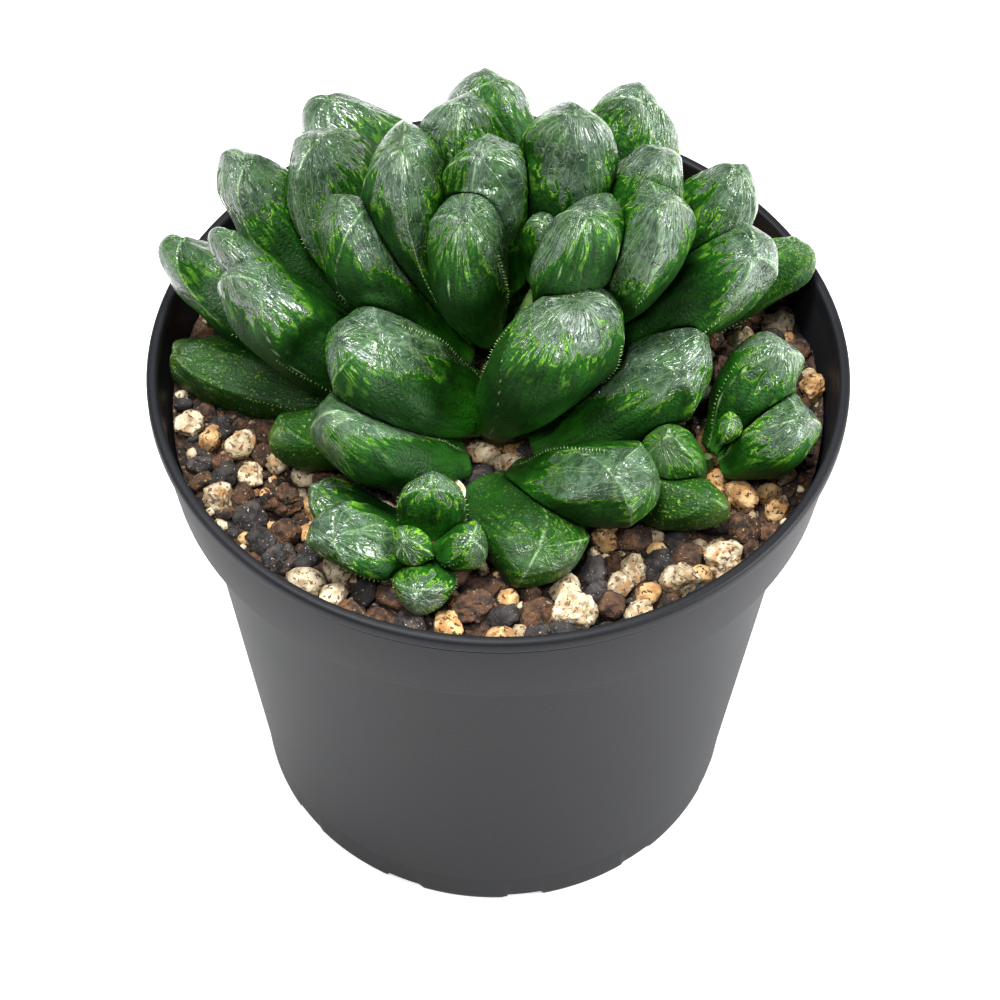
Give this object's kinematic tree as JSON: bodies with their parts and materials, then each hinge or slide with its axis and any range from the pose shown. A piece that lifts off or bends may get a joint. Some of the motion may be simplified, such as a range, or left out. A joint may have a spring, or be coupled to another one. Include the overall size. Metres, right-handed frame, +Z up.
{
  "type": "potted haworthia",
  "caption": "Small succulent with plump, clear-windowed green leaves and young offsets, growing in gritty soil in a plain round nursery pot that stands on its foot ring.",
  "frame": {"origin": "middle of the pot's foot, on the surface that the pot stands on", "axes": "+Z up along the pot's axis; -Y is the front, the side from which the rosette shows its leaves' faces; +X is to the right as seen from the front"},
  "size_m": [0.1, 0.1, 0.123],
  "materials": {
    "leaf_skin": "waxy skin, glossy over clear windows and satin below, dark green with lighter veins",
    "stem_skin": "matt plant skin, pale green",
    "dry_leaf": "dry papery leaf tissue, straw coloured",
    "pot_plastic": "moulded dark grey polypropylene, satin with a smooth lip",
    "soil_mix": "dark bark and grit potting mix, matt and crumbly",
    "pumice": "cream pumice with brown specks, matt and porous",
    "fired_clay": "tan fired clay granule, matt",
    "lava": "brown and black lava rock, matt and pitted"
  },
  "bodies": {
    "root": {"clay_pebble_1": "fired_clay", "dry_leaf_base": "dry_leaf", "lava_pebble_1": "lava", "lava_pebble_2": "lava", "leaf_01": "leaf_skin", "leaf_02": "leaf_skin", "leaf_03": "leaf_skin", "leaf_04": "leaf_skin", "leaf_05": "leaf_skin", "leaf_06": "leaf_skin", "leaf_07": "leaf_skin", "leaf_08": "leaf_skin", "leaf_09": "leaf_skin", "leaf_10": "leaf_skin", "leaf_11": "leaf_skin", "leaf_12": "leaf_skin", "leaf_13": "leaf_skin", "leaf_14": "leaf_skin", "leaf_15": "leaf_skin", "leaf_16": "leaf_skin", "leaf_17": "leaf_skin", "leaf_18": "leaf_skin", "leaf_19": "leaf_skin", "leaf_20": "leaf_skin", "leaf_21": "leaf_skin", "leaf_22": "leaf_skin", "leaf_23": "leaf_skin", "leaf_24": "leaf_skin", "leaf_25": "leaf_skin", "leaf_26": "leaf_skin", "leaf_27": "leaf_skin", "leaf_28": "leaf_skin", "leaf_29": "leaf_skin", "leaf_30": "leaf_skin", "leaf_31": "leaf_skin", "leaf_32": "leaf_skin", "leaf_33": "leaf_skin", "left_offset_leaf_1": "leaf_skin", "left_offset_leaf_2": "leaf_skin", "left_offset_leaf_3": "leaf_skin", "left_offset_leaf_4": "leaf_skin", "left_offset_leaf_5": "leaf_skin", "left_offset_leaf_6": "leaf_skin", "left_offset_stem": "stem_skin", "pot": "pot_plastic", "pumice_pebble_1": "pumice", "pumice_pebble_2": "pumice", "pumice_pebble_3": "pumice", "pumice_pebble_4": "pumice", "pumice_pebble_5": "pumice", "pumice_pebble_6": "pumice", "pumice_pebble_7": "pumice", "right_offset_leaf_1": "leaf_skin", "right_offset_leaf_2": "leaf_skin", "right_offset_leaf_3": "leaf_skin", "right_offset_leaf_4": "leaf_skin", "right_offset_stem": "stem_skin", "soil": "soil_mix", "stem": "stem_skin"}
  },
  "joints": []
}
